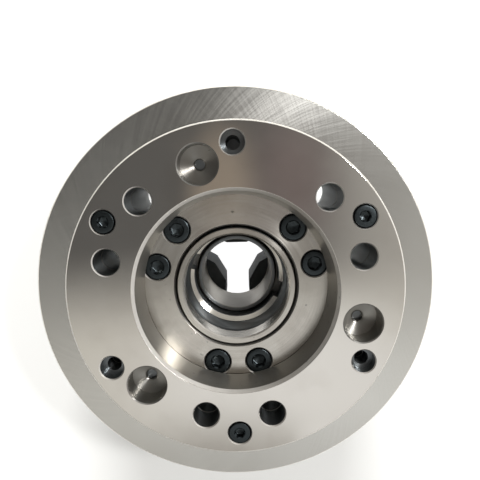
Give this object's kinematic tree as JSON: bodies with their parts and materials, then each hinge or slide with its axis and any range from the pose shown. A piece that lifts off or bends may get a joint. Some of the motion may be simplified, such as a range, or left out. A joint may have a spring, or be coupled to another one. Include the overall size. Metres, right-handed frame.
{
  "type": "hydraulic power chuck",
  "caption": "Hollow three-jaw wedge power chuck with a bolted short-taper back plate, standing on its soft jaws with the spindle side up.",
  "frame": {"origin": "on the chuck's axis, in the plane of the soft jaws' front faces that it stands on", "axes": "+Z along the axis, out of the back face towards the spindle; jaw 1 at +Y"},
  "size_m": [0.127, 0.127, 0.086],
  "materials": {
    "ground_steel": "ground and turned, satin",
    "turned_steel": "fine turned, satin",
    "hardened_steel": "hardened and oiled",
    "blackened_steel": "blackened, semi-matt",
    "black_oxide": "black oxide"
  },
  "bodies": {
    "chuck": {"back_plate": "ground_steel", "chuck_body": "turned_steel", "rear_guide_ring": "turned_steel", "front_bush": "ground_steel", "plate_screw_1": "black_oxide", "plate_screw_2": "black_oxide", "plate_screw_3": "black_oxide", "ring_screw_1": "black_oxide", "ring_screw_2": "black_oxide", "ring_screw_3": "black_oxide", "ring_screw_4": "black_oxide", "ring_screw_5": "black_oxide", "ring_screw_6": "black_oxide", "bush_screw_1": "black_oxide", "bush_screw_2": "black_oxide", "bush_screw_3": "black_oxide", "grease_nipple_1": "hardened_steel", "grease_nipple_2": "hardened_steel", "grease_nipple_3": "hardened_steel"},
    "plunger": {"wedge_plunger": "hardened_steel", "nut_retaining_ring": "hardened_steel"},
    "draw_nut": {"draw_nut": "hardened_steel"},
    "jaw_1": {"master_jaw_1": "blackened_steel", "t_nut_1": "black_oxide", "soft_jaw_1": "blackened_steel", "jaw_bolt_inner_1": "black_oxide", "jaw_bolt_outer_1": "black_oxide"},
    "jaw_2": {"master_jaw_2": "blackened_steel", "t_nut_2": "black_oxide", "soft_jaw_2": "blackened_steel", "jaw_bolt_inner_2": "black_oxide", "jaw_bolt_outer_2": "black_oxide"},
    "jaw_3": {"master_jaw_3": "blackened_steel", "t_nut_3": "black_oxide", "soft_jaw_3": "blackened_steel", "jaw_bolt_inner_3": "black_oxide", "jaw_bolt_outer_3": "black_oxide"}
  },
  "joints": [
    {"name": "plunger_slide", "type": "slide", "parent": "chuck", "child": "plunger", "axis": [0, 0, 1], "range_m": [0, 0.01]},
    {"name": "jaw_1_slide", "type": "slide", "parent": "chuck", "child": "jaw_1", "axis": [0, -1, 0], "range_m": [0, 0.0027]},
    {"name": "jaw_2_slide", "type": "slide", "parent": "chuck", "child": "jaw_2", "axis": [0.866, 0.5, 0], "range_m": [0, 0.0027]},
    {"name": "jaw_3_slide", "type": "slide", "parent": "chuck", "child": "jaw_3", "axis": [-0.866, 0.5, 0], "range_m": [0, 0.0027]},
    {"name": "draw_nut_turn", "type": "hinge", "parent": "plunger", "child": "draw_nut", "pos_m": [0, 0, 0.06], "axis": [0, 0, 1], "continuous": true}
  ],
  "couplings": [
    {"joint": "jaw_1_slide", "follows": "plunger_slide", "ratio": 0.26795},
    {"joint": "jaw_2_slide", "follows": "plunger_slide", "ratio": 0.26795},
    {"joint": "jaw_3_slide", "follows": "plunger_slide", "ratio": 0.26795}
  ]
}
